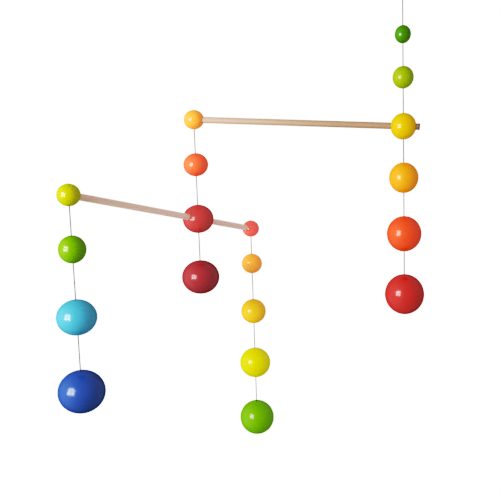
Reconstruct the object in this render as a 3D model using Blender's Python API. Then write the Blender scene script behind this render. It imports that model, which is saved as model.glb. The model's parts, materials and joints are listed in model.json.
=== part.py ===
"""A baby mobile: lacquered wooden balls threaded on four strands, hung from two round wooden rods.

The main strand carries everything. The upper rod goes through its third ball and holds the middle
strand at its free end, and the lower rod goes through the third ball of that strand and holds the
front and back strands at its two ends. Metres, +Z up. The origin is at the top of the hanging loop.
"""

import math
from typing import NamedTuple

import bmesh
import bpy
from mathutils import Vector


class Ball(NamedTuple):
    """One ball of a strand. They are turned by hand, so a ball is a little taller or flatter along
    its thread than it is wide. Its drop is from the middle of the ball above it, and a strand's
    first ball drops from the point that carries the strand."""

    name: str
    width: float
    height: float
    drop: float
    colour: tuple


# Thread and knots
THREAD_DIAMETER = 0.0010
KNOT_DIAMETER = 0.0022
KNOT_HEIGHT = 0.0022
KNOT_CROWN = 0.4            # share of a knot's height that is at its full thickness
KNOT_SINK = 0.0008          # from the edge of the pocket that a knot sits in to its middle
KNOT_FIT = 0.00035          # clearance all round a knot in its pocket
LOOP_HEIGHT = 0.022         # from the loop's knot up to the inside of its top
LOOP_WIDTH = 0.010
LOOP_TAIL_CLEARANCE = 0.0008

# Holes for the thread. Each ball's bore widens at one end into a pocket, which hides a knot
BORE_DIAMETER = 0.0017
POCKET_DIAMETER = KNOT_DIAMETER + 2 * KNOT_FIT
POCKET_WALL = KNOT_SINK + KNOT_CROWN * KNOT_HEIGHT / 2 + KNOT_FIT
POCKET_DEPTH = KNOT_SINK + KNOT_HEIGHT / 2 + KNOT_FIT

# Rods
ROD_DIAMETER = 0.00635
ROD_EDGE = 0.0004           # the broken edge of a sawn end
ROD_FIT = 0.0003            # clearance round a rod in the ball it is glued into
ROD_END_FROM_THREAD = 0.0025
UPPER_ROD_REACH = 0.212     # from the main thread out to the middle thread, measured level
UPPER_ROD_STUB = 0.0155     # from the main thread to the sawn end that stands out of the ball
UPPER_ROD_RISE = math.radians(4.5)
LOWER_ROD_FRONT_REACH = 0.165
LOWER_ROD_BACK_REACH = 0.091
LOWER_ROD_RISE = math.radians(11.7)
LOWER_ROD_TURN = math.radians(66.3)   # the lower rod's heading, turned from the upper rod's

# The balls of each strand, from the top down
MAIN_BALLS = (
    Ball("main_ball_1_green", 0.0152, 0.0168, 0.0460, (0.045, 0.300, 0.000)),
    Ball("main_ball_2_lime", 0.0200, 0.0212, 0.0400, (0.450, 0.640, 0.000)),
    Ball("main_ball_3_yellow", 0.0244, 0.0256, 0.0463, (0.800, 0.610, 0.000)),
    Ball("main_ball_4_amber", 0.0282, 0.0298, 0.0495, (0.860, 0.430, 0.005)),
    Ball("main_ball_5_orange", 0.0334, 0.0350, 0.0550, (0.900, 0.090, 0.010)),
    Ball("main_ball_6_red", 0.0382, 0.0400, 0.0605, (0.650, 0.022, 0.018)),
)
MIDDLE_BALLS = (
    Ball("middle_ball_1_amber", 0.0210, 0.0198, 0.0000, (0.940, 0.500, 0.030)),
    Ball("middle_ball_2_orange", 0.0260, 0.0240, 0.0464, (0.960, 0.180, 0.030)),
    Ball("middle_ball_3_red", 0.0326, 0.0298, 0.0568, (0.690, 0.035, 0.028)),
    Ball("middle_ball_4_crimson", 0.0398, 0.0358, 0.0622, (0.490, 0.013, 0.030)),
)
FRONT_BALLS = (
    Ball("front_ball_1_lime", 0.0204, 0.0194, 0.0000, (0.740, 0.740, 0.002)),
    Ball("front_ball_2_green", 0.0242, 0.0244, 0.0471, (0.150, 0.500, 0.002)),
    Ball("front_ball_3_turquoise", 0.0354, 0.0316, 0.0600, (0.080, 0.540, 0.670)),
    Ball("front_ball_4_blue", 0.0420, 0.0380, 0.0673, (0.012, 0.070, 0.440)),
)
BACK_BALLS = (
    Ball("back_ball_1_coral", 0.0196, 0.0188, 0.0000, (0.900, 0.110, 0.070)),
    Ball("back_ball_2_amber", 0.0238, 0.0230, 0.0412, (0.950, 0.420, 0.030)),
    Ball("back_ball_3_yellow", 0.0292, 0.0286, 0.0570, (0.820, 0.610, 0.006)),
    Ball("back_ball_4_lime", 0.0360, 0.0350, 0.0625, (0.740, 0.720, 0.000)),
    Ball("back_ball_5_green", 0.0404, 0.0402, 0.0678, (0.150, 0.530, 0.000)),
)
UPPER_ROD_BALL = "main_ball_3_yellow"    # the upper rod goes through this ball
LOWER_ROD_BALL = "middle_ball_3_red"     # the lower rod goes through this ball

WOOD_COLOUR = (0.600, 0.370, 0.200)
THREAD_COLOUR = (0.060, 0.060, 0.063)
LACQUER_ROUGHNESS = 0.12
WOOD_ROUGHNESS = 0.55
THREAD_ROUGHNESS = 0.6

# How finely the round pieces are faceted
SMALL_BALL_BELOW = 0.022    # width
LARGE_BALL_FROM = 0.031     # width
SMALL_BALL_SIDES = 12
BALL_SIDES = 16
BALL_BANDS = 8
LARGE_BALL_BANDS = 10
ROD_SIDES = 16
THREAD_HOLE_SIDES = 12
LOOP_LEG_STEPS = 4
LOOP_TOP_STEPS = 8
SHARP_ANGLE = math.radians(35)
CUTTER_OVERRUN = 0.004      # how far a cutter stands out of what it cuts


def clear_scene():
    for item in list(bpy.data.objects):
        bpy.data.objects.remove(item, do_unlink=True)


def make_material(name, colour, roughness):
    material = bpy.data.materials.new(name)
    material.use_nodes = True
    shader = material.node_tree.nodes["Principled BSDF"]
    shader.inputs["Base Color"].default_value = (*colour, 1.0)
    shader.inputs["Roughness"].default_value = roughness
    shader.inputs["Metallic"].default_value = 0.0
    return material


def place(item, parent, location):
    bpy.context.scene.collection.objects.link(item)
    item.parent = parent
    item.location = location
    return item


def make_empty(name, parent, location, heading=0.0):
    """A guide that carries the pieces of a strand or an arm."""
    empty = place(bpy.data.objects.new(name, None), parent, location)
    empty.rotation_euler = (0.0, 0.0, heading)
    return empty


def turned(name, profile, sides, closed):
    """A turned mesh: the profile, points of radius and height, spun once round Z."""
    bm = bmesh.new()
    points = [bm.verts.new((radius, 0.0, height)) for radius, height in profile]
    edges = [bm.edges.new(pair) for pair in zip(points, points[1:])]
    if closed:
        edges.append(bm.edges.new((points[-1], points[0])))
    bmesh.ops.spin(
        bm, geom=points + edges, axis=(0, 0, 1), cent=(0, 0, 0), steps=sides, angle=math.tau
    )
    bmesh.ops.remove_doubles(bm, verts=bm.verts, dist=1e-6)
    bmesh.ops.recalc_face_normals(bm, faces=bm.faces)
    mesh = bpy.data.meshes.new(name)
    bm.to_mesh(mesh)
    bm.free()
    mesh.shade_smooth()
    mesh.set_sharp_from_angle(angle=SHARP_ANGLE)
    return mesh


def point_along(item, along):
    """Turns an object so that its own Z axis points along a direction."""
    item.rotation_mode = "QUATERNION"
    item.rotation_quaternion = along.to_track_quat("Z", "Y")


def ball_named(balls, name):
    return next(ball for ball in balls if ball.name == name)


def heights_of(balls, top):
    """The heights of the middles of a strand's balls, by name, below the point that carries it."""
    heights = {}
    height = top
    for ball in balls:
        height -= ball.drop
        heights[ball.name] = height
    return heights


def pocket_edge(ball):
    """How far from a ball's middle its pocket meets the round, along the thread."""
    return ball.height / 2 * math.sqrt(1 - (POCKET_DIAMETER / ball.width) ** 2)


def ball_mesh(ball, pocket_side):
    """A ball with a thread hole down its middle and a pocket for a knot at one end of the hole,
    on the top (1) or on the underside (-1)."""
    sides = SMALL_BALL_SIDES if ball.width < SMALL_BALL_BELOW else BALL_SIDES
    bands = LARGE_BALL_BANDS if ball.width >= LARGE_BALL_FROM else BALL_BANDS
    start = math.asin(POCKET_DIAMETER / ball.width)
    end = math.pi - math.asin(BORE_DIAMETER / ball.width)
    profile = []
    for band in range(bands + 1):
        angle = start + (end - start) * band / bands
        height = pocket_side * ball.height / 2 * math.cos(angle)
        profile.append((ball.width / 2 * math.sin(angle), height))
    edge = pocket_edge(ball)
    profile.append((BORE_DIAMETER / 2, pocket_side * (edge - POCKET_DEPTH)))
    profile.append((POCKET_DIAMETER / 2, pocket_side * (edge - POCKET_WALL)))
    return turned(ball.name, profile, sides, closed=True)


def make_ball(ball, parent, location, pocket_side=-1):
    mesh = ball_mesh(ball, pocket_side)
    mesh.materials.append(make_material(ball.name, ball.colour, LACQUER_ROUGHNESS))
    return place(bpy.data.objects.new(ball.name, mesh), parent, location)


def make_balls(balls, parent, heights):
    """Balls on one strand, straight down, each resting on a knot under it."""
    for ball in balls:
        make_ball(ball, parent, Vector((0.0, 0.0, heights[ball.name])))


def on_rod(reach, rise):
    """A point on a rod, that far out level from the middle of the ball that carries it."""
    return Vector((reach, 0.0, reach * math.tan(rise)))


def make_rod(name, parent, start, end):
    """A round rod between two points, with the edges of its sawn ends broken."""
    along = end - start
    length = along.length
    radius = ROD_DIAMETER / 2
    profile = (
        (0.0, length),
        (radius - ROD_EDGE, length),
        (radius, length - ROD_EDGE),
        (radius, ROD_EDGE),
        (radius - ROD_EDGE, 0.0),
        (0.0, 0.0),
    )
    mesh = turned(name, profile, ROD_SIDES, closed=False)
    mesh.materials.append(make_material(name, WOOD_COLOUR, WOOD_ROUGHNESS))
    rod = place(bpy.data.objects.new(name, mesh), parent, start)
    point_along(rod, along)
    return rod


def drill(item, hole, diameter, sides, parent, start, end):
    """Cuts a round hole in a piece, from one point of the parent's frame to another."""
    along = end - start
    length = along.length
    radius = diameter / 2
    profile = ((0.0, length), (radius, length), (radius, 0.0), (0.0, 0.0))
    name = item.name + hole
    cutter = bpy.data.objects.new(name, turned(name, profile, sides, closed=False))
    place(cutter, parent, start)
    point_along(cutter, along)
    cutter.hide_render = True
    cutter.display_type = "WIRE"
    modifier = item.modifiers.new(name, "BOOLEAN")
    modifier.operation = "DIFFERENCE"
    modifier.solver = "EXACT"
    modifier.object = cutter


def drill_thread_hole(rod, parent):
    """A hole straight down through a rod, where the thread that carries it goes through."""
    reach = Vector((0.0, 0.0, ROD_DIAMETER / 2 + CUTTER_OVERRUN))
    drill(rod, "_thread_hole", BORE_DIAMETER, THREAD_HOLE_SIDES, parent, -reach, reach)


def drill_rod_hole(item, parent, start, end):
    """A hole for a rod, with the rod's clearance all round."""
    drill(item, "_rod_hole", ROD_DIAMETER + 2 * ROD_FIT, ROD_SIDES, parent, start, end)


def make_carried_ball(ball, arm, rise):
    """The ball in the middle of an arm, which the arm's rod goes right through."""
    made = make_ball(ball, arm, Vector((0.0, 0.0, 0.0)))
    reach = ball.width / 2 + CUTTER_OVERRUN
    drill_rod_hole(made, arm, on_rod(-reach, rise), on_rod(reach, rise))


def make_end_ball(ball, strand, along):
    """The ball at a rod's end, with a blind hole for the rod that stops short of the thread hole.
    Here the knot rests on the ball and carries the strand, so its pocket is on the top."""
    made = make_ball(ball, strand, Vector((0.0, 0.0, 0.0)), pocket_side=1)
    floor = ROD_END_FROM_THREAD - ROD_FIT
    outside = ball.width / 2 + CUTTER_OVERRUN
    drill_rod_hole(made, strand, along * floor, along * outside)


def knot_points(height):
    """A knot's outline along an upright thread, from the top: heights and radii."""
    half = KNOT_HEIGHT / 2
    thick = KNOT_DIAMETER / 2
    thin = THREAD_DIAMETER / 2
    return [
        (height + half, thin),
        (height + KNOT_CROWN * half, thick),
        (height - KNOT_CROWN * half, thick),
        (height - half, thin),
    ]


def knots_under(balls, heights):
    """A knot under each of these balls, which keeps it from sliding down the thread."""
    points = []
    for ball in balls:
        points += knot_points(heights[ball.name] - pocket_edge(ball) + KNOT_SINK)
    return points


def upright(outline):
    return [(Vector((0.0, 0.0, height)), radius) for height, radius in outline]


def make_thread(name, parent, points):
    """A thread as a round tube through these positions, with the radius at each."""
    curve = bpy.data.curves.new(name, "CURVE")
    curve.dimensions = "3D"
    curve.bevel_depth = THREAD_DIAMETER / 2
    curve.bevel_resolution = 2
    curve.use_fill_caps = True
    spline = curve.splines.new("POLY")
    spline.points.add(len(points) - 1)
    for target, (position, radius) in zip(spline.points, points):
        target.co = (*position, 1.0)
        target.radius = radius / curve.bevel_depth
    curve.materials.append(make_material(name, THREAD_COLOUR, THREAD_ROUGHNESS))
    return place(bpy.data.objects.new(name, curve), parent, Vector((0.0, 0.0, 0.0)))


def loop_leg(foot_across, side):
    """One side of the hanging loop, from above its knot up to below its round top."""
    thin = THREAD_DIAMETER / 2
    foot = -LOOP_HEIGHT + KNOT_HEIGHT / 2
    shoulder = thin - LOOP_WIDTH / 2
    points = []
    for step in range(1, LOOP_LEG_STEPS):
        share = step / LOOP_LEG_STEPS
        ease = share * share * (3 - 2 * share)
        across = foot_across + (LOOP_WIDTH / 2 - foot_across) * ease
        height = foot + (shoulder - foot) * share
        points.append((Vector((side * across, 0.0, height)), thin))
    return points


def hanging_loop():
    """The loop at the top of the main thread: up one side, round, and back down to the knot."""
    thin = THREAD_DIAMETER / 2
    radius = LOOP_WIDTH / 2
    top = []
    for step in range(LOOP_TOP_STEPS + 1):
        angle = math.pi * (1 - step / LOOP_TOP_STEPS)
        height = thin - radius + radius * math.sin(angle)
        top.append((Vector((radius * math.cos(angle), 0.0, height)), thin))
    tail_across = THREAD_DIAMETER + LOOP_TAIL_CLEARANCE
    tail_height = -LOOP_HEIGHT + KNOT_HEIGHT / 2 + THREAD_DIAMETER
    tail = [(Vector((tail_across, 0.0, tail_height)), thin)]
    return loop_leg(0.0, -1) + top + loop_leg(tail_across, 1)[::-1] + tail


def make_main_thread(parent):
    """From the knot under the lowest ball up to the knot of the hanging loop, and round it."""
    heights = heights_of(MAIN_BALLS, -LOOP_HEIGHT)
    outline = knot_points(-LOOP_HEIGHT) + knots_under(MAIN_BALLS, heights)
    make_thread("main_thread", parent, upright(outline)[::-1] + hanging_loop())


def make_strand_thread(name, parent, balls):
    """The thread of a strand whose first ball sits on a rod's end: a knot rests on that ball, and
    each of the others rests on a knot of its own."""
    over = pocket_edge(balls[0]) - KNOT_SINK
    outline = knot_points(over) + knots_under(balls[1:], heights_of(balls, 0.0))
    make_thread(name, parent, upright(outline))


def build_main_strand():
    strand = make_empty("main_strand_axis", None, Vector((0.0, 0.0, 0.0)))
    heights = heights_of(MAIN_BALLS, -LOOP_HEIGHT)
    make_balls([ball for ball in MAIN_BALLS if ball.name != UPPER_ROD_BALL], strand, heights)
    make_main_thread(strand)
    return heights[UPPER_ROD_BALL]


def build_upper_arm(pivot):
    """The upper rod in its ball, which turns about the main thread, and the middle strand."""
    rise = -UPPER_ROD_RISE
    arm = make_empty("upper_arm_axis", None, Vector((0.0, 0.0, pivot)))
    make_carried_ball(ball_named(MAIN_BALLS, UPPER_ROD_BALL), arm, rise)
    inner_end = on_rod(-UPPER_ROD_REACH + ROD_END_FROM_THREAD, rise)
    rod = make_rod("upper_rod", arm, inner_end, on_rod(UPPER_ROD_STUB, rise))
    drill_thread_hole(rod, arm)
    strand = make_empty("middle_strand_axis", arm, on_rod(-UPPER_ROD_REACH, rise))
    end_ball, *below = MIDDLE_BALLS
    make_end_ball(end_ball, strand, on_rod(1.0, rise))
    heights = heights_of(MIDDLE_BALLS, 0.0)
    make_balls([ball for ball in below if ball.name != LOWER_ROD_BALL], strand, heights)
    make_strand_thread("middle_thread", strand, MIDDLE_BALLS)
    return strand


def build_lower_arm(middle_strand):
    """The lower rod in its ball, which turns about the middle thread, with a strand at each end.
    The arm's own X axis runs along the rod, towards the back strand."""
    rise = -LOWER_ROD_RISE
    pivot = heights_of(MIDDLE_BALLS, 0.0)[LOWER_ROD_BALL]
    arm = make_empty("lower_arm_axis", middle_strand, Vector((0.0, 0.0, pivot)), LOWER_ROD_TURN)
    make_carried_ball(ball_named(MIDDLE_BALLS, LOWER_ROD_BALL), arm, rise)
    front_end = on_rod(-LOWER_ROD_FRONT_REACH + ROD_END_FROM_THREAD, rise)
    back_end = on_rod(LOWER_ROD_BACK_REACH - ROD_END_FROM_THREAD, rise)
    rod = make_rod("lower_rod", arm, front_end, back_end)
    drill_thread_hole(rod, arm)
    for side, balls, reach, inward in (
        ("front", FRONT_BALLS, -LOWER_ROD_FRONT_REACH, 1.0),
        ("back", BACK_BALLS, LOWER_ROD_BACK_REACH, -1.0),
    ):
        strand = make_empty(side + "_strand_axis", arm, on_rod(reach, rise))
        end_ball, *below = balls
        make_end_ball(end_ball, strand, on_rod(inward, rise))
        make_balls(below, strand, heights_of(balls, 0.0))
        make_strand_thread(side + "_thread", strand, balls)


clear_scene()
build_lower_arm(build_upper_arm(build_main_strand()))
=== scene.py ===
# %% [markdown]
# # A baby mobile of lacquered wooden balls
#
# Nineteen turned wooden balls, each dipped in its own bright lacquer, hang on four thin threads,
# and two beech dowels carry three of the four strands out to the sides. This script dresses the
# plain model of it: it keeps every size and every place, and makes the finer shapes, the
# finishes, the light and the camera. It runs in Blender.

# %% The plain model
import json
import math
from typing import NamedTuple

import bmesh
import bpy
import numpy as np
from mathutils import Matrix, Vector, noise


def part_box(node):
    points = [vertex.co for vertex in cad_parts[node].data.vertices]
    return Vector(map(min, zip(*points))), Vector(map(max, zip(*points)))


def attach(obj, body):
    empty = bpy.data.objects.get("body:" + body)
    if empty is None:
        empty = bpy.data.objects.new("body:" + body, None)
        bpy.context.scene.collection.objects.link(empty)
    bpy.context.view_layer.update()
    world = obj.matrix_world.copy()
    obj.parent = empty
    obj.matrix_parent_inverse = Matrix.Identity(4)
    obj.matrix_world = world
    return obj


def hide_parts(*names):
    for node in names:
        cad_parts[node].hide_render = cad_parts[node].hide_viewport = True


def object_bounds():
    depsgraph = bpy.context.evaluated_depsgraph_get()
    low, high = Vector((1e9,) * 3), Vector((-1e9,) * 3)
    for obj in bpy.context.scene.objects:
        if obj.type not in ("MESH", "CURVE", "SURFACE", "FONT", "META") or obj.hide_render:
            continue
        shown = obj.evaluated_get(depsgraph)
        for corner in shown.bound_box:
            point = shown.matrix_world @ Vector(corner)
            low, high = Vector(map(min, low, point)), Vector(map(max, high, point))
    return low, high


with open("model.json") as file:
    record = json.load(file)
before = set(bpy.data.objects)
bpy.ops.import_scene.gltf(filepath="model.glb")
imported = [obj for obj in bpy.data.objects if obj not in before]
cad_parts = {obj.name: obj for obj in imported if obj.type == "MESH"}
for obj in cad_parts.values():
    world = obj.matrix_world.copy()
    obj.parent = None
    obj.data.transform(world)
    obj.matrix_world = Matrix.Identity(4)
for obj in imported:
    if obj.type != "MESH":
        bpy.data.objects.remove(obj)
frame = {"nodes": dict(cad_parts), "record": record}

cad_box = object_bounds()
record = frame["record"]
body_of = {node: body for body, nodes in record["behaviour"]["bodies"].items() for node in nodes}

# %% [markdown]
# ## The camera
#
# The real picture was taken from a little under the upper rod, looking slightly down and to the
# left. A camera could be placed by eye, but every ball's middle gives two equations for it, so the
# values here come from a fit of all nineteen. The picture is square, and it takes Blender's own
# 36 mm sensor, so the lens is the only number that sets how wide it looks.

# %% Place the camera
CAMERA_PLACE = Vector((0.00816, -0.67670, -0.18773))
CAMERA_HEADING = math.radians(13.704)    # to the left of straight along +Y
CAMERA_DIP = math.radians(7.081)
CAMERA_ROLL = math.radians(-1.982)
LENS = 48.418

camera = bpy.data.objects.new("camera", bpy.data.cameras.new("camera"))
camera.data.lens = LENS
camera.matrix_world = (
    Matrix.Translation(CAMERA_PLACE)
    @ Matrix.Rotation(CAMERA_HEADING, 4, "Z")
    @ Matrix.Rotation(math.pi / 2 - CAMERA_DIP, 4, "X")
    @ Matrix.Rotation(CAMERA_ROLL, 4, "Z")
)
bpy.context.scene.collection.objects.link(camera)
bpy.context.scene.camera = camera
print("camera at", tuple(round(value, 4) for value in camera.matrix_world.translation))

# %% [markdown]
# ## Measuring the balls
#
# The plain balls are faceted, with 12 or 16 sides, and each has a thread hole down its middle. At
# one end the hole widens into a pocket that hides a knot: on the underside, or on the top of a ball
# that sits on a rod's end. Typing the sizes in again would let the two models drift apart, so they
# are read from the plain ones. The widest corner gives the width. The height of the box lies
# between the two edges of the hole, a little inside the true round, and gives the height. The
# lowest ball of a strand has no hole for a rod, so the middle of its box is where the thread runs.

# %% Read each ball's place, width and height
BORE_RADIUS = 0.00085
POCKET_RADIUS = 0.00145
POCKET_WALL = 0.00159        # depth of the pocket's straight wall
POCKET_DEPTH = 0.00225


class Ball(NamedTuple):
    node: str
    centre: Vector
    width: float
    height: float
    pocket_side: int             # 1 on the top, -1 on the underside

    def edge_of(self, hole_radius):
        """How far from the ball's middle a hole of this radius meets the round."""
        return edge_share(self.width, hole_radius) * self.height / 2


def edge_share(width, hole_radius):
    return math.sqrt(1 - (2 * hole_radius / width) ** 2)


def corners(node):
    return np.array([corner.co for corner in frame["nodes"][node].data.vertices])


def measure_strand(name):
    """The balls of one strand, from the top down."""
    nodes = sorted(node for node in frame["nodes"] if node.startswith(name + "_ball_"))
    low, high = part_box(nodes[-1])
    axis = (low + high) / 2
    balls = []
    for node in nodes:
        low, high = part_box(node)
        away = corners(node)[:, :2] - np.array(axis.xy)
        width = 2 * float(np.linalg.norm(away, axis=1).max())
        pocket_side = 1 if name != "main" and node == nodes[0] else -1
        pocket = edge_share(width, POCKET_RADIUS)
        bore = edge_share(width, BORE_RADIUS)
        height = 2 * (high.z - low.z) / (pocket + bore)
        middle = high.z - height / 2 * (pocket if pocket_side > 0 else bore)
        balls.append(Ball(node, Vector((axis.x, axis.y, middle)), width, height, pocket_side))
    return balls


strands = {name: measure_strand(name) for name in ("main", "middle", "front", "back")}
for name, balls in strands.items():
    print(name, ", ".join(f"{1000 * ball.width:.1f} x {1000 * ball.height:.1f}" for ball in balls))

# %% [markdown]
# ## The threads
#
# A thread that carries wooden balls is three plies laid round each other, which shows as fine
# slanting grooves. A round tube with a bump would do from afar, but its outline would stay smooth,
# so the section itself has three lobes and turns as it runs. The direction of each ring is carried
# over from the ring before it, so the tube doesn't twist by accident where the thread bends.

# %% A thread's tube
THREAD_RADIUS = 0.0005
PLIES = 3
PLY_GROOVE = 0.26        # depth of the groove between two plies, as a share of the radius
PLY_LAY = 0.0030         # how far along the thread one ply takes to go round it
RING_POINTS = 12
RING_STEP = 0.0003


def perpendicular(along):
    """Any direction at right angles to this one."""
    helper = Vector((0, 1, 0)) if abs(along.y) < 0.9 else Vector((1, 0, 0))
    return along.cross(helper).normalized()


def add_plied_tube(bm, path, radius):
    """Adds a closed tube of three laid plies that follows a path of close points."""
    side = perpendicular(path[1] - path[0])
    travelled = 0.0
    rings = []
    for index, centre in enumerate(path):
        before = path[max(index - 1, 0)]
        along = (path[min(index + 1, len(path) - 1)] - before).normalized()
        side = (side - along * side.dot(along)).normalized()
        across = along.cross(side)
        travelled += (centre - before).length
        turn = math.tau * travelled / PLY_LAY
        ring = []
        for point in range(RING_POINTS):
            angle = math.tau * point / RING_POINTS
            lobe = 0.5 + 0.5 * math.cos(PLIES * (angle - turn))
            reach = radius * (1 - PLY_GROOVE * (1 - lobe))
            offset = side * math.cos(angle) + across * math.sin(angle)
            ring.append(bm.verts.new(centre + offset * reach))
        rings.append(ring)
    for ring, after in zip(rings, rings[1:]):
        for point in range(RING_POINTS):
            beside = (point + 1) % RING_POINTS
            bm.faces.new((ring[point], ring[beside], after[beside], after[point]))
    bm.faces.new(rings[0][::-1])
    bm.faces.new(rings[-1])


def straight(start, end):
    """Close points from one place to another, both included."""
    steps = max(2, round((end - start).length / RING_STEP))
    return [start.lerp(end, step / steps) for step in range(steps + 1)]


# %% [markdown]
# ## Knots
#
# Each ball rests on a stopper knot drawn up into the pocket under it. A stopper knot is the
# thread wound twice round itself with its end tucked in. Following the true path of the thread
# through the knot would be exact and almost invisible at two millimetres, so the windings are
# made as a short coil of the same plied tube, whose two ends dive into the thread.

# %% A wound knot
KNOT_TURNS = 2.25
KNOT_RISE = 0.00064      # from one winding to the next
KNOT_STEPS = 72
KNOT_TUCK = 0.12         # the share of the coil over which an end is tucked in
KNOT_SINK = 0.0008       # from the edge of the pocket to the middle of the knot in it
KNOT_TUCKED = 0.2        # how far out a tucked end stays, as a share of the core's radius
WINDING_RADIUS = 0.0003
print(f"each knot is {1000 * KNOT_TURNS * KNOT_RISE:.2f} mm tall")


def add_knot(bm, centre, core):
    """Adds a coil round an upright core, with both of its ends tucked in."""
    path = []
    for step in range(KNOT_STEPS + 1):
        share = step / KNOT_STEPS
        tucked = min(1.0, min(share, 1 - share) / KNOT_TUCK)
        ease = tucked * tucked * (3 - 2 * tucked)
        reach = WINDING_RADIUS + core * (KNOT_TUCKED + (1 - KNOT_TUCKED) * ease)
        angle = math.tau * KNOT_TURNS * share
        height = (share - 0.5) * KNOT_TURNS * KNOT_RISE
        path.append(centre + Vector((reach * math.cos(angle), reach * math.sin(angle), height)))
    add_plied_tube(bm, path, WINDING_RADIUS)


def knot_height(ball):
    return ball.centre.z + ball.pocket_side * (ball.edge_of(POCKET_RADIUS) - KNOT_SINK)


# %% [markdown]
# ## The four threads
#
# Every thread hangs taut, so three of them are plain uprights between their first and last knots.
# The main thread goes on upwards, out of the picture, and ends in a loop for a ceiling hook: up one
# side, round the top, and back down through the loop's knot to a short cut tail. A loop like that
# could be a bevelled curve, but one tube from the lowest knot to the tail keeps its plies running.

# %% The path of the hanging loop
LOOP_HEIGHT = 0.022          # from the middle of the loop's knot to the inside of its top
LOOP_RADIUS = 0.005
KNOT_HALF = 0.0010
TAIL_BESIDE = 0.0010         # the tail lies against the thread in the knot
TAIL_FLARE = 0.0014
TAIL_LENGTH = 0.0028
LOOP_STEPS = 60
TAIL_STEPS = 10


def eased(start, end, share):
    return start + (end - start) * share * share * (3 - 2 * share)


def loop_path():
    """From the top of the loop's knot, up and round, and down beside the thread to the tail."""
    top = THREAD_RADIUS - LOOP_RADIUS
    foot = KNOT_HALF - LOOP_HEIGHT
    up = []
    down = []
    for step in range(1, LOOP_STEPS + 1):
        share = step / LOOP_STEPS
        height = foot + (top - foot) * share
        up.append(Vector((-eased(0.0, LOOP_RADIUS, share), 0.0, height)))
        down.append(Vector((eased(TAIL_BESIDE, LOOP_RADIUS, share), 0.0, height)))
    arch = []
    for step in range(1, LOOP_STEPS):
        angle = math.pi * (1 - step / LOOP_STEPS)
        arch.append(Vector((LOOP_RADIUS * math.cos(angle), 0.0, top + LOOP_RADIUS * math.sin(angle))))
    through = straight(down[0], Vector((TAIL_BESIDE, 0.0, -LOOP_HEIGHT - KNOT_HALF)))[1:]
    tail = []
    for step in range(1, TAIL_STEPS + 1):
        share = step / TAIL_STEPS
        across = eased(TAIL_BESIDE, TAIL_BESIDE + TAIL_FLARE, share)
        tail.append(Vector((across, 0.0, through[-1].z - TAIL_LENGTH * share)))
    return up + arch + down[::-1] + through + tail


def path_length(path):
    return sum((after - before).length for before, after in zip(path, path[1:]))


print(f"the loop takes {path_length(loop_path()):.3f} m of thread")


# %% Make a piece, and say what it stands for
def make_object(name, bm, location=None):
    """A smooth-shaded object of a finished mesh."""
    mesh = bpy.data.meshes.new(name)
    bm.to_mesh(mesh)
    bm.free()
    mesh.shade_smooth()
    made = bpy.data.objects.new(name, mesh)
    if location is not None:
        made.location = location
    bpy.context.scene.collection.objects.link(made)
    return made


def settle(piece, node):
    """The piece stands for a plain one: it moves with the same body, and the plain one is hidden."""
    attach(piece, body_of[node])
    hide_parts(node)


# %% Make the threads
threads = []
for name, balls in strands.items():
    node = name + "_thread"
    heights = [knot_height(ball) for ball in balls]
    axis = balls[-1].centre
    bm = bmesh.new()
    for height in heights:
        add_knot(bm, Vector((axis.x, axis.y, height)), THREAD_RADIUS)
    foot = Vector((axis.x, axis.y, heights[-1] - KNOT_HALF))
    if name == "main":
        path = straight(foot, Vector((0.0, 0.0, KNOT_HALF - LOOP_HEIGHT))) + loop_path()
        add_knot(bm, Vector((TAIL_BESIDE / 2, 0.0, -LOOP_HEIGHT)), THREAD_RADIUS + TAIL_BESIDE / 2)
    else:
        path = straight(foot, Vector((axis.x, axis.y, heights[0] + KNOT_HALF)))
    add_plied_tube(bm, path, THREAD_RADIUS)
    thread = make_object(name + "_plied_thread", bm)
    settle(thread, node)
    path_length(path)
    threads.append(thread)
    print(thread.name, f"{path_length(path):.3f} m,", len(thread.data.polygons), "faces")

# %% [markdown]
# ## Shader maths as Python
#
# The finishes below are made of nodes, and a formula built by hand from Math nodes is hard to read
# back. A Wire holds one output socket, and the usual operators on it add the Math nodes, so a mask
# can be written as 1 - painted. Every other node comes from one method, which sets its settings
# first, because they can change which sockets it has.

# %% The Wire class
class Wire:
    """One output of a node, or a bare node tree, which new nodes are added to."""

    def __init__(self, tree, socket=None):
        self.tree = tree
        self.socket = socket

    def node(self, kind, settings=None, inputs=None, output=0):
        """Adds a node: its type, its settings, the values or links of its inputs, and the output
        to go on with, by number or name."""
        made = self.tree.nodes.new(kind)
        for name, value in (settings or {}).items():
            if name == "stops":
                ramp = made.color_ramp.elements
                while len(ramp) < len(value):
                    ramp.new(1.0)
                for stop, (position, colour) in zip(ramp, value):
                    stop.position = position
                    stop.color = colour
            else:
                setattr(made, name, value)
        for key, value in (inputs or {}).items():
            if isinstance(value, Wire):
                self.tree.links.new(value.socket, made.inputs[key])
            else:
                made.inputs[key].default_value = value
        return Wire(self.tree, made.outputs[output] if made.outputs else None)

    def math(self, operation, first, second):
        return self.node("ShaderNodeMath", {"operation": operation}, {0: first, 1: second})

    def __add__(self, other):
        return self.math("ADD", self, other)

    def __radd__(self, other):
        return self.math("ADD", other, self)

    def __sub__(self, other):
        return self.math("SUBTRACT", self, other)

    def __rsub__(self, other):
        return self.math("SUBTRACT", other, self)

    def __mul__(self, other):
        return self.math("MULTIPLY", self, other)

    def __rmul__(self, other):
        return self.math("MULTIPLY", other, self)

    def __abs__(self):
        return self.math("ABSOLUTE", self, 0.0)


# %% [markdown]
# ## Words for the finishes
#
# Lacquer, wood and yarn are all described in the same few words: a cloudy variation, a value that
# ramps between two limits, a colour that is shaded. Each could be a node group, as in the editor's
# menus, but small functions are easier to read in a script, and they leave plain nodes behind.

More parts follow.
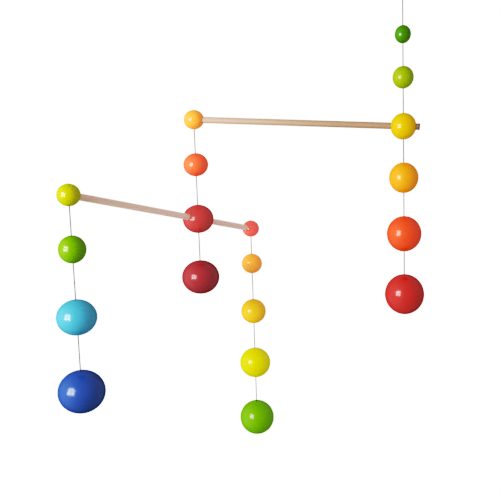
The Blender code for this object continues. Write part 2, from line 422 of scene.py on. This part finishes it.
# %% Helpers for finishes
def start_finish(name):
    """An empty material and the wire that its nodes are added with."""
    material = bpy.data.materials.new(name)
    material.use_nodes = True
    material.node_tree.nodes.clear()
    return material, Wire(material.node_tree)


def end_finish(tree, inputs, bump):
    """The surface itself: a Principled shader with these inputs and this bump."""
    surface = tree.node("ShaderNodeBsdfPrincipled", inputs={**inputs, "Normal": bump})
    tree.node("ShaderNodeOutputMaterial", inputs={"Surface": surface})


def rgb(red, green, blue):
    return (red, green, blue, 1.0)


def mix_colours(factor, first, second):
    """A mix of two colours. The node keeps its colours in the sockets after those for numbers."""
    return factor.node("ShaderNodeMix", {"data_type": "RGBA"}, {0: factor, 6: first, 7: second}, 2)


def cloudy(place, scale, detail=2.0, drawn_out=1.0):
    """Soft noise from 0 to 1, with about this many lumps to a metre. Along Z there are fewer, by a
    share, which draws them out."""
    if drawn_out < 1.0:
        shares = (1.0, 1.0, drawn_out)
        place = place.node("ShaderNodeVectorMath", {"operation": "MULTIPLY"}, {0: place, 1: shares})
    return place.node("ShaderNodeTexNoise", inputs={"Vector": place, "Scale": scale, "Detail": detail})


def ramped(value, low, high):
    """0 below the low value, 1 above the high one, and smooth between them."""
    settings = {"interpolation_type": "SMOOTHSTEP"}
    return value.node("ShaderNodeMapRange", settings, {"Value": value, "From Min": low, "From Max": high})


def shaded(colour, value):
    """A colour made lighter or darker by a factor."""
    return value.node("ShaderNodeHueSaturation", inputs={"Color": colour, "Value": value})


def bumped(height, depth):
    """A bump whose full height is this many metres."""
    return height.node("ShaderNodeBump", inputs={"Height": height, "Distance": depth, "Strength": 1.0})


# %% [markdown]
# ## Lacquer
#
# The balls are dipped, so the lacquer is thick, even and very glossy: opaque pigment under a clear,
# hard skin. The pigment lies in the lacquer and has no shine of its own, so its specular level is
# zero and all the gloss is the coat's, which leaves the deep, saturated colour of real lacquer. The
# skin has the faint unevenness of a dipped finish, the colour drifts a little where the coat is
# thicker, and bare wood shows only in the thread hole and in a thin broken ring round a rod hole.
# Any clear coat turns into a mirror where it is seen edge on. Against a white room that mirror would
# bite white notches out of a ball's outline, so the coat thins out towards the edge.

# %% The lacquer finish
BARE_WOOD = rgb(0.56, 0.38, 0.22)
COAT_ROUGHNESS = 0.20
COAT_IOR = 1.45
COAT_EDGE_LOSS = 0.95
COAT_LOSS_STARTS = 0.25      # 0 is seen face on, 1 is seen edge on
COAT_LOSS_ENDS = 0.75
DRIFT_SCALE = 55.0           # lumps to a metre
DRIFT_DEPTH = 0.1            # from the darkest to the lightest, as a share of the colour
SKIN_SCALE = 240.0
SKIN_DEPTH = 0.000001
PAINT_STARTS = 0.0001        # outside the wall of the thread hole
PAINT_FULL = 0.0003
ROD_RADIUS = 0.003175
ROD_HOLE_RADIUS = 0.003275
BARE_RING = 0.00022
RING_RAGGED = 0.0003
RING_RAGGED_SCALE = 900.0
HOLE_FADE = 0.001            # a blind hole's ring fades over this much behind the ball's middle


def distance_from_line(place, along):
    """How far each point of a surface is from a line through the object's middle, in metres."""
    crossed = place.node("ShaderNodeVectorMath", {"operation": "CROSS_PRODUCT"}, {0: place, 1: along})
    return crossed.node("ShaderNodeVectorMath", {"operation": "LENGTH"}, {0: crossed}, "Value")


def towards(place, along):
    return place.node("ShaderNodeVectorMath", {"operation": "DOT_PRODUCT"}, {0: place, 1: along}, "Value")


def lacquer(name, paint, hole_along=None, hole_through=False):
    """A dipped coat of this colour. A rod's hole runs along a direction from the ball's middle."""
    material, tree = start_finish(name)
    place = tree.node("ShaderNodeTexCoord", output="Object")
    from_thread = distance_from_line(place, (0.0, 0.0, 1.0))
    painted = ramped(from_thread, BORE_RADIUS + PAINT_STARTS, BORE_RADIUS + PAINT_FULL)
    if hole_along is not None:
        unevenly = RING_RAGGED * (cloudy(place, RING_RAGGED_SCALE) - 0.5)
        from_rod = distance_from_line(place, tuple(hole_along)) + unevenly
        clear_of_hole = ramped(from_rod, ROD_HOLE_RADIUS, ROD_HOLE_RADIUS + BARE_RING)
        if not hole_through:
            behind = towards(place, tuple(hole_along)) * -1.0
            clear_of_hole = clear_of_hole + ramped(behind, 0.0, HOLE_FADE)
        painted = painted.math("MINIMUM", painted, clear_of_hole)
    edge_on = tree.node("ShaderNodeLayerWeight", inputs={"Blend": 0.5}, output="Facing")
    gloss = painted * (1 - COAT_EDGE_LOSS * ramped(edge_on, COAT_LOSS_STARTS, COAT_LOSS_ENDS))
    drift = cloudy(place, DRIFT_SCALE)
    colour = shaded(rgb(*paint), 1 - DRIFT_DEPTH / 2 + DRIFT_DEPTH * drift)
    skin = cloudy(place, SKIN_SCALE, detail=1.0)
    inputs = {
        "Base Color": mix_colours(painted, BARE_WOOD, colour),
        "Roughness": 0.6,
        "Coat Weight": gloss,
        "Coat Roughness": COAT_ROUGHNESS,
        "Coat IOR": COAT_IOR,
        "Specular IOR Level": 0.0,
    }
    end_finish(tree, inputs, bumped(skin, SKIN_DEPTH))
    return material


# %% [markdown]
# ## The balls
#
# A ball is turned on a lathe and then drilled, so it is made the same way: its outline, from the
# pocket over the round to the other end of the bore, is spun round the thread. Both edges of the
# hole are softly broken. Hand-turned balls are never quite round. A very slow noise takes a little
# over a tenth of a millimetre off at most, always inwards, so that no ball grows.

# %% A ball's outline
BALL_SIDES = 96
BALL_BANDS = 60              # from one edge of the hole to the other
HOLE_EDGE = 0.00015


def ball_outline(ball):
    """Radius and height of the ball's section, with its pocket on the top."""
    pocket = Vector((POCKET_RADIUS, ball.edge_of(POCKET_RADIUS)))
    bore = Vector((BORE_RADIUS, -ball.edge_of(BORE_RADIUS)))
    broken = 2 * HOLE_EDGE / ball.width
    first = math.asin(2 * POCKET_RADIUS / ball.width) + broken
    last = math.pi - math.asin(2 * BORE_RADIUS / ball.width) - broken
    rounds = []
    for band in range(BALL_BANDS + 1):
        angle = first + (last - first) * band / BALL_BANDS
        rounds.append(Vector((ball.width / 2 * math.sin(angle), ball.height / 2 * math.cos(angle))))
    floor = [
        Vector((BORE_RADIUS, pocket.y - POCKET_DEPTH)),
        Vector((POCKET_RADIUS, pocket.y - POCKET_WALL)),
    ]
    in_pocket = pocket - Vector((0.0, HOLE_EDGE))
    in_bore = bore + Vector((0.0, HOLE_EDGE))
    pocket_lip = (in_pocket + 2 * pocket + rounds[0]) / 4
    bore_lip = (in_bore + 2 * bore + rounds[-1]) / 4
    return floor + [in_pocket, pocket_lip] + rounds + [bore_lip, in_bore]


print(len(ball_outline(strands["main"][0])), "points in a ball's outline")


# %% Turn a ball
UNEVEN = 0.006               # the most that is taken off, as a share of the radius
UNEVEN_SCALE = 55.0
SEED_STEP = (3.7, 1.3)       # how far apart the noise of two balls is


def turned_ball(ball, seed):
    """A bmesh of the ball, round its own middle."""
    bm = bmesh.new()
    ring = [bm.verts.new((point.x, 0.0, point.y * ball.pocket_side)) for point in ball_outline(ball)]
    edges = [bm.edges.new(pair) for pair in zip(ring, ring[1:] + ring[:1])]
    bmesh.ops.spin(
        bm, geom=ring + edges, axis=(0, 0, 1), cent=(0, 0, 0), steps=BALL_SIDES, angle=math.tau
    )
    bmesh.ops.remove_doubles(bm, verts=bm.verts, dist=1e-7)
    bmesh.ops.recalc_face_normals(bm, faces=bm.faces)
    offset = Vector((seed * SEED_STEP[0], seed * SEED_STEP[1], 0.0))
    for vert in bm.verts:
        lump = 0.5 + 0.5 * noise.noise(vert.co * UNEVEN_SCALE + offset)
        vert.co *= 1 - UNEVEN * max(0.0, min(1.0, lump))
    return bm


# %% [markdown]
# ## Drilling
#
# A rod goes into its ball through a hole that is drilled across. The hole could be modelled face by
# face, but where a cylinder meets a sphere the edge is a curve that fits no row of faces. A Boolean
# modifier cuts it exactly, and taking its result as a plain mesh leaves no cutter behind.

# %% Drill a round hole
DRILL_SIDES = 64


def drill(piece, start, end, radius, sides=DRILL_SIDES):
    """Cuts a round hole in a piece, between two places, and leaves a plain mesh."""
    bm = bmesh.new()
    length = (end - start).length
    bmesh.ops.create_cone(
        bm, cap_ends=True, segments=sides, radius1=radius, radius2=radius, depth=length
    )
    cutter = make_object(piece.name + "_drill", bm)
    cutter.matrix_world = (
        Matrix.Translation((start + end) / 2) @ (end - start).to_track_quat("Z", "Y").to_matrix().to_4x4()
    )
    cut = piece.modifiers.new("drill", "BOOLEAN")
    cut.object = cutter
    bpy.context.view_layer.update()
    drilled = bpy.data.meshes.new_from_object(
        piece.evaluated_get(bpy.context.evaluated_depsgraph_get())
    )
    piece.modifiers.clear()
    piece.data = drilled
    bpy.data.objects.remove(cutter)


# %% [markdown]
# ## Where the rods lie
#
# A rod is a long thin thing, so the direction in which its corners spread most is its axis, and the
# corners furthest along that axis are its two ends. That is a singular value decomposition of the
# corners, which finds the slope of the rod without typing any angle in.

# %% Measure the rods
class Rod(NamedTuple):
    node: str
    low_end: Vector
    high_end: Vector

    def along(self):
        return (self.high_end - self.low_end).normalized()


def measure_rod(node):
    """A rod's two ends, the one towards -X first."""
    places = corners(node)
    middle = (places.max(axis=0) + places.min(axis=0)) / 2
    along = np.linalg.svd(places - places.mean(axis=0), full_matrices=False)[2][0]
    along = along * (1 if along[0] > 0 else -1)
    reach = (places - middle) @ along
    return Rod(node, Vector(middle + along * reach.min()), Vector(middle + along * reach.max()))


rods = {name: measure_rod(name + "_rod") for name in ("upper", "lower")}
for name, rod in rods.items():
    slope = math.degrees(math.asin(rod.along().z))
    print(name, f"rod {(rod.high_end - rod.low_end).length:.4f} m long, slope {slope:.2f} degrees")

# %% [markdown]
# ## Nineteen colours
#
# The strands run through the rainbow from top to bottom, and no two balls are quite the same paint.
# One material with a random colour would be less work, but the order of the colours is the design,
# so every ball has its own value here. They are linear values, as shaders use them. They weren't
# picked by eye: another program compared the lit middle of each ball in the photograph with a
# render, divided the light and the camera's response out, and worked out the paint that matches.

# %% The paint of each ball
PAINTS = {
    "main_ball_1_green": (0.073, 0.211, 0.001),
    "main_ball_2_lime": (0.255, 0.341, 0.005),
    "main_ball_3_yellow": (0.633, 0.387, 0.001),
    "main_ball_4_amber": (0.761, 0.292, 0.017),
    "main_ball_5_orange": (0.756, 0.103, 0.031),
    "main_ball_6_red": (0.424, 0.044, 0.036),
    "middle_ball_1_amber": (1.000, 0.352, 0.070),
    "middle_ball_2_orange": (0.902, 0.154, 0.066),
    "middle_ball_3_red": (0.440, 0.074, 0.067),
    "middle_ball_4_crimson": (0.284, 0.046, 0.053),
    "front_ball_1_lime": (0.358, 0.366, 0.001),
    "front_ball_2_green": (0.135, 0.276, 0.001),
    "front_ball_3_turquoise": (0.071, 0.294, 0.401),
    "front_ball_4_blue": (0.031, 0.079, 0.240),
    # The back coral and amber are painted lighter than their own paint. This is painted light for the
    # shade that the lower rod and the front strand cast on them.
    "back_ball_1_coral": (1.000, 0.184, 0.146),
    "back_ball_2_amber": (1.000, 0.376, 0.082),
    "back_ball_3_yellow": (0.790, 0.438, 0.028),
    "back_ball_4_lime": (0.636, 0.591, 0.001),
    "back_ball_5_green": (0.158, 0.349, 0.001),
}

print(len(PAINTS), "paints")

# %% Which balls carry a rod
carried_by = {
    "main_ball_3_yellow": (rods["upper"].along(), True),
    "middle_ball_3_red": (rods["lower"].along(), True),
    "middle_ball_1_amber": (rods["upper"].along(), False),
    "front_ball_1_lime": (rods["lower"].along(), False),
    "back_ball_1_coral": (-rods["lower"].along(), False),
}
print(len(carried_by), "balls are drilled for a rod")

# %% Make the balls
DRILL_OVERRUN = 0.002
ROD_END_FROM_THREAD = 0.0022     # where a blind hole ends
SHARP_ANGLE = math.radians(30)

faces = 0
for balls in strands.values():
    for ball in balls:
        seed = sorted(PAINTS).index(ball.node)
        name = ball.node.replace("_ball_", "_lacquered_ball_")
        piece = make_object(name, turned_ball(ball, seed), ball.centre)
        hole, through = carried_by.get(ball.node, (None, False))
        if hole is not None:
            far = hole * (ball.width / 2 + DRILL_OVERRUN)
            near = -far if through else hole * ROD_END_FROM_THREAD
            drill(piece, ball.centre + near, ball.centre + far, ROD_HOLE_RADIUS)
        piece.data.set_sharp_from_angle(angle=SHARP_ANGLE)
        piece.data.materials.clear()
        piece.data.materials.append(lacquer(name, PAINTS[ball.node], hole, through))
        settle(piece, ball.node)
        faces += len(piece.data.polygons)
print(len(PAINTS), "balls with", faces, "faces")

# %% [markdown]
# ## Beech
#
# The rods are plain sanded beech dowel. Beech is pale and pinkish, with a fine straight grain and
# its own mark: short dark flecks, a millimetre or two long. A wave texture looks like pine, so the
# grain is noise stretched along the rod, and the flecks are a second, shorter noise cut off high.
# The colour of a rod changes from one end towards the other. Across the rod, its far side is painted
# lighter or darker than the near side: painted light on the back of the upper rod, and painted shade
# on the far side of the lower one. The ends are sawn across, and the last two millimetres are darker,
# most of all round the rim.

# %% The beech finish
GRAIN_SCALE = 1500.0         # lumps to a metre, across the rod
BAND_SCALE = 420.0
FLECK_SCALE = 2600.0
FLECK_FROM = 0.63            # the noise is a fleck above this
FLECK_FULL = 0.70
GRAIN_SHARE = 0.15           # of the way from the pale colour to the deep one
BAND_SHARE = 0.15
# how much the colour changes from one end of the rod to the other
END_TO_END_SHARE = 0.85
END_TO_END_STARTS = -0.1            # along the rod, where 0 is one end of it and 1 the other
END_TO_END_FULL = 0.75
GRAIN_DEPTH = 0.00003
BEECH_FLECK = rgb(0.42, 0.25, 0.15)
FLECK_STRENGTH = 0.4         # how much of a fleck's own colour shows
FLECK_DENT = 0.6             # beside the height of the grain
# The last two millimetres at each end of a rod are darker, most of all round the rim.
END_DARK_COLOUR = rgb(0.060, 0.045, 0.028)
END_DARK_REACH = 0.0022           # how far the dark of a sawn end creeps along the wood
END_DARK_FULL = 0.4             # and where it is full, as a share of that
RIM_STARTS = 0.6             # shares of the rod's radius
RIM_FULL = 0.98
END_DARK_IN_MIDDLE = 0.25       # how dark the middle of a sawn end is
END_DARK_AT_RIM = 0.6           # and how much darker its rim


def beech(name, length, pale, deep, side, far_side_painted_brightness):
    """Sanded beech, whose colour changes from the pale colour at one end to the deep one. Both are the
    colours of the side that faces one way, and the far side is painted lighter or darker by a factor:
    painted light where it is lighter, painted shade where it is darker."""
    material, tree = start_finish(name)
    place = tree.node("ShaderNodeTexCoord", output="Object")
    grain = cloudy(place, GRAIN_SCALE, detail=3.0, drawn_out=0.03)
    bands = cloudy(place, BAND_SCALE, detail=1.0, drawn_out=0.05)
    flecks = ramped(cloudy(place, FLECK_SCALE, detail=1.0, drawn_out=0.16), FLECK_FROM, FLECK_FULL)
    along = towards(place, (0.0, 0.0, 1.0 / length)) + 0.5
    end_to_end = ramped(along, END_TO_END_STARTS, END_TO_END_FULL)
    deepening = GRAIN_SHARE * grain + BAND_SHARE * bands + END_TO_END_SHARE * end_to_end
    colour = mix_colours(deepening, rgb(*pale), rgb(*deep))
    # Painted light and shade: the far side of a rod is painted lighter or darker than its near side.
    near_side = ramped(towards(place, side), -ROD_RADIUS, 0.0)
    colour = shaded(colour, (1 - far_side_painted_brightness) * near_side + far_side_painted_brightness)
    colour = mix_colours(FLECK_STRENGTH * flecks, colour, BEECH_FLECK)
    from_middle = abs(along - 0.5)
    end_dark_share = END_DARK_REACH / length
    sawn = ramped(from_middle, 0.5 - end_dark_share, 0.5 - END_DARK_FULL * end_dark_share)
    from_axis = distance_from_line(place, (0.0, 0.0, 1.0))
    rim = ramped(from_axis, RIM_STARTS * ROD_RADIUS, RIM_FULL * ROD_RADIUS)
    end_darkened = sawn * (END_DARK_IN_MIDDLE + END_DARK_AT_RIM * rim)
    inputs = {
        "Base Color": mix_colours(end_darkened, colour, END_DARK_COLOUR),
        "Roughness": 0.5 + 0.15 * grain,
        "Specular IOR Level": 0.35,
    }
    end_finish(tree, inputs, bumped(grain - FLECK_DENT * flecks, GRAIN_DEPTH))
    return material


# %% [markdown]
# ## The rods
#
# A dowel is sawn to length and its ends are rubbed over, so its edges are softly broken. It is spun
# from a short outline like the balls, with a ring every few millimetres that wanders by hundredths
# of a millimetre, as sanding leaves it. Last, the hole for the thread that carries it is drilled
# straight down, inside the ball, where it can't be seen but the thread needs it.

# %% Turn a rod
ROD_SIDES = 48
ROD_EDGE = 0.00045           # radius of the broken edge
EDGE_STEPS = 3
ROD_RING_STEP = 0.004
ROD_WANDER = 0.00003
ROD_WANDER_SCALE = 150.0


def turned_rod(rod):
    """A bmesh of the rod along its own Z axis, round its middle."""
    half = (rod.high_end - rod.low_end).length / 2
    top = [(0.0, half), (ROD_RADIUS - ROD_EDGE, half)]
    for step in range(1, EDGE_STEPS + 1):
        angle = math.pi / 2 * step / EDGE_STEPS
        rounded = ROD_RADIUS - ROD_EDGE * (1 - math.sin(angle))
        top.append((rounded, half - ROD_EDGE * (1 - math.cos(angle))))
    rings = round(2 * half / ROD_RING_STEP)
    barrel = [(ROD_RADIUS, half - 2 * half * ring / rings) for ring in range(1, rings)]
    outline = top + barrel + [(radius, -height) for radius, height in reversed(top)]
    bm = bmesh.new()
    points = [bm.verts.new((radius, 0.0, height)) for radius, height in outline]
    edges = [bm.edges.new(pair) for pair in zip(points, points[1:])]
    bmesh.ops.spin(
        bm, geom=points + edges, axis=(0, 0, 1), cent=(0, 0, 0), steps=ROD_SIDES, angle=math.tau
    )
    bmesh.ops.remove_doubles(bm, verts=bm.verts, dist=1e-7)
    bmesh.ops.recalc_face_normals(bm, faces=bm.faces)
    for vert in bm.verts:
        outwards = Vector((vert.co.x, vert.co.y, 0.0))
        if outwards.length > ROD_RADIUS / 2:
            wander = 0.5 + 0.5 * noise.noise(vert.co * ROD_WANDER_SCALE)
            vert.co -= outwards.normalized() * ROD_WANDER * wander
    return bm


# %% The colours of each rod, with painted light and shade on its far side
class RodColoursAndPaintedSide(NamedTuple):
    pale: tuple                  # the near side's colour at the end towards -X
    deep: tuple                  # and at the other end
    side: Vector                 # which way the near side faces
    # The far side's brightness is painted: painted light above 1, painted shade below 1.
    far_side_painted_brightness: float              # how bright the other side is beside it


# The upper rod's far side has painted light, and the lower rod's far side has painted shade.
ROD_COLOURS_AND_PAINTED_SIDES = {
    "upper": RodColoursAndPaintedSide((0.53, 0.37, 0.275), (0.325, 0.22, 0.145), Vector((0.0, -1.0, 0.0)), 1.35),
    "lower": RodColoursAndPaintedSide((0.63, 0.455, 0.345), (0.77, 0.58, 0.50), Vector((0.916, -0.402, 0.0)), 0.72),
}
print("the far sides are", " and ".join(str(rod_colours.far_side_painted_brightness) for rod_colours in ROD_COLOURS_AND_PAINTED_SIDES.values()), "as bright")

# %% Make the rods
THREAD_HOLE_SIDES = 24

for name, rod in rods.items():
    piece = make_object(name + "_beech_rod", turned_rod(rod))
    turn = rod.along().to_track_quat("Z", "Y").to_matrix().to_4x4()
    piece.matrix_world = Matrix.Translation((rod.low_end + rod.high_end) / 2) @ turn
    carrier = strands["main"][2] if name == "upper" else strands["middle"][2]
    reach = Vector((0.0, 0.0, 2 * ROD_RADIUS))
    drill(piece, carrier.centre - reach, carrier.centre + reach, BORE_RADIUS, THREAD_HOLE_SIDES)
    length = (rod.high_end - rod.low_end).length
    piece.data.set_sharp_from_angle(angle=SHARP_ANGLE)
    piece.data.materials.clear()
    rod_colours = ROD_COLOURS_AND_PAINTED_SIDES[name]
    side = tuple(turn.to_3x3().inverted() @ rod_colours.side)
    piece.data.materials.append(beech(piece.name, length, rod_colours.pale, rod_colours.deep, side, rod_colours.far_side_painted_brightness))
    settle(piece, rod.node)
    print(piece.name, len(piece.data.polygons), "faces")

# %% [markdown]
# ## Thread
#
# The thread is slightly waxed and painted charcoal grey, far darker than the light thread itself: the
# dark is painted shade. The plies are already in the mesh, so the finish adds only what is finer: the
# single fibres, which lie along the ply, and the soft uneven grey of yarn.

# %% The thread finish
# Painted shade: this charcoal is far darker than the light thread itself.
THREAD_GREY_PAINTED_SHADE = rgb(0.060, 0.060, 0.063)
FIBRE_SCALE = 9000.0
FIBRE_SHARE = 0.25           # from the darkest to the lightest, as a share of the grey
FIBRE_DEPTH = 0.00002
UNEVEN_GREY_SCALE = 350.0
UNEVEN_GREY_SHARE = 0.15


def yarn(name):
    material, tree = start_finish(name)
    place = tree.node("ShaderNodeTexCoord", output="Object")
    fibres = cloudy(place, FIBRE_SCALE, drawn_out=0.25)
    uneven = cloudy(place, UNEVEN_GREY_SCALE)
    darkest = 1 - (FIBRE_SHARE + UNEVEN_GREY_SHARE) / 2
    grey = shaded(THREAD_GREY_PAINTED_SHADE, darkest + FIBRE_SHARE * fibres + UNEVEN_GREY_SHARE * uneven)
    inputs = {
        "Base Color": grey,
        "Roughness": 0.62,
        "Specular IOR Level": 0.3,
        "Sheen Weight": 0.2,
    }
    end_finish(tree, inputs, bumped(fibres, FIBRE_DEPTH))
    return material


yarn_finish = yarn("yarn")
for thread in threads:
    thread.data.materials.append(yarn_finish)
print(len(threads), "threads have their finish")

# %% [markdown]
# ## The camera's response
#
# A camera doesn't record light in proportion. It deepens the shadows and rolls off the highlights,
# channel by channel, which is why a lit orange ball turns yellower and its dark side redder. The
# same response is set here as a curve in the colour management, over the plain Standard view,
# instead of faking those shifts in the paint. Its seven points are rounded from another program's
# fit, over the balls' colours in the photograph and in a render.

# %% The response curve
RESPONSE = (
    (0.02, 0.0015),
    (0.05, 0.024),
    (0.10, 0.075),
    (0.20, 0.26),
    (0.35, 0.53),
    (0.55, 0.73),
    (0.80, 0.89),
)

view = bpy.context.scene.view_settings
view.view_transform = "Standard"
view.use_curve_mapping = True
response = view.curve_mapping.curves[3]
for light_in, light_out in RESPONSE:
    response.points.new(light_in, light_out)
view.curve_mapping.update()
print("response curve of", len(response.points), "points")

# %% [markdown]
# ## The softbox
#
# The picture is bright and shadowless, and each ball shows one small square highlight on its left:
# a square softbox with a cross bar, left of the camera and about level with it, at the place that
# the highlights of all the balls point to. Four area lights in a square would make it, but the
# renderer picks one light at a time, so every light more adds grain. It is one light instead,
# whose own shader leaves the two bars dark.

# %% The softbox
BOX_PLACE = Vector((-0.555, -0.736, -0.140))
BOX_AIM = Vector((-0.150, -0.020, -0.260))
BOX_SIZE = 0.422
BAR_HALF = 0.032             # half the width of a cross bar, as a share of the softbox
BOX_BRIGHTNESS = 12.2

lamp = bpy.data.lights.new("softbox", "AREA")
lamp.shape = "SQUARE"
lamp.size = BOX_SIZE
lamp.energy = math.pi * BOX_SIZE * BOX_SIZE      # a brightness of one, before its shader
lamp.use_nodes = True
lamp.node_tree.nodes.clear()
tree = Wire(lamp.node_tree)
spot = tree.node("ShaderNodeNewGeometry", output="Parametric")
panes = 1.0
for axis in ("X", "Y"):
    from_bar = abs(spot.node("ShaderNodeSeparateXYZ", inputs={0: spot}, output=axis) - 0.5)
    panes = from_bar.math("GREATER_THAN", from_bar, BAR_HALF) * panes
glowing = tree.node("ShaderNodeEmission", inputs={"Strength": panes * BOX_BRIGHTNESS})
tree.node("ShaderNodeOutputLight", inputs={"Surface": glowing})

softbox = bpy.data.objects.new("softbox", lamp)
bpy.context.scene.collection.objects.link(softbox)
softbox.matrix_world = (
    Matrix.Translation(BOX_PLACE)
    @ (BOX_PLACE - BOX_AIM).to_track_quat("Z", "Y").to_matrix().to_4x4()
)
softbox.visible_camera = False
print("softbox", BOX_SIZE, "m wide")

# %% [markdown]
# ## The room
#
# The rest of the light is the room: bright on the left and behind, dim on the right, which is what
# rounds the balls off. It could be more area lights, but a world that changes with direction has no
# edges to reflect. The camera itself sees plain white.

# %% The room
LEFT = (-0.9715, -0.2369, 0.0)
FRONT_LEFT = (-0.877, -0.480, 0.0)
BEHIND = (0.350, 0.937, 0.0)
FROM_RIGHT_TO_LEFT = (
    (0.0, rgb(0.58, 0.54, 0.60)),
    (0.45, rgb(0.36, 0.35, 0.36)),
    (1.0, rgb(0.44, 0.44, 0.45)),
)
BRIGHT_WALL = rgb(0.95, 0.95, 0.95)
BRIGHT_WALL_FROM = 0.3       # 1 is straight towards the wall, 0 is square to that
FAR_WALL = rgb(0.78, 0.76, 0.78)
FAR_WALL_FROM = 0.2

world = bpy.data.worlds.new("room")
world.use_nodes = True
world.node_tree.nodes.clear()
bpy.context.scene.world = world
tree = Wire(world.node_tree)
direction = tree.node("ShaderNodeTexCoord", output="Generated")
leftness = towards(direction, LEFT) * 0.5 + 0.5
room = tree.node("ShaderNodeValToRGB", {"stops": FROM_RIGHT_TO_LEFT}, {"Fac": leftness})
bright_wall = ramped(towards(direction, FRONT_LEFT), BRIGHT_WALL_FROM, 1.0)
room = mix_colours(bright_wall, room, BRIGHT_WALL)
far_wall = ramped(towards(direction, BEHIND), FAR_WALL_FROM, 1.0)
room = mix_colours(far_wall, room, FAR_WALL)
seen = tree.node("ShaderNodeLightPath", output="Is Camera Ray")
room_colour = mix_colours(seen, room, rgb(1.0, 1.0, 1.0))
background = tree.node("ShaderNodeBackground", inputs={"Color": room_colour, "Strength": 1.0})
tree.node("ShaderNodeOutputWorld", inputs={"Surface": background})
print("room of", len(world.node_tree.nodes), "nodes")

# %% [markdown]
# ## The floor
#
# The mobile hangs well clear of a plain white floor. Paint it white and the far floor still turns
# grey under soft light, so for the camera it glows as white as the room. It still throws soft light
# up at the balls, but it is left out of their reflections, where its horizon would draw a hard line
# round every ball.

# %% The floor
FLOOR_BELOW = 0.6            # under the lowest ball
FLOOR_HALF = 15.0

bm = bmesh.new()
bmesh.ops.create_grid(bm, x_segments=1, y_segments=1, size=FLOOR_HALF)
floor = make_object("floor", bm, Vector((0.0, 0.0, cad_box[0].z - FLOOR_BELOW)))
floor_finish, tree = start_finish("floor_white")
matt = tree.node("ShaderNodeBsdfDiffuse", inputs={"Color": rgb(0.75, 0.75, 0.75)})
glow = tree.node("ShaderNodeEmission", inputs={"Color": rgb(1.0, 1.0, 1.0), "Strength": 1.0})
seen = tree.node("ShaderNodeLightPath", output="Is Camera Ray")
surface = tree.node("ShaderNodeMixShader", inputs={0: seen, 1: matt, 2: glow})
tree.node("ShaderNodeOutputMaterial", inputs={"Surface": surface})
floor.data.materials.append(floor_finish)
floor.visible_glossy = False
print("floor at", round(floor.location.z, 3), "m")
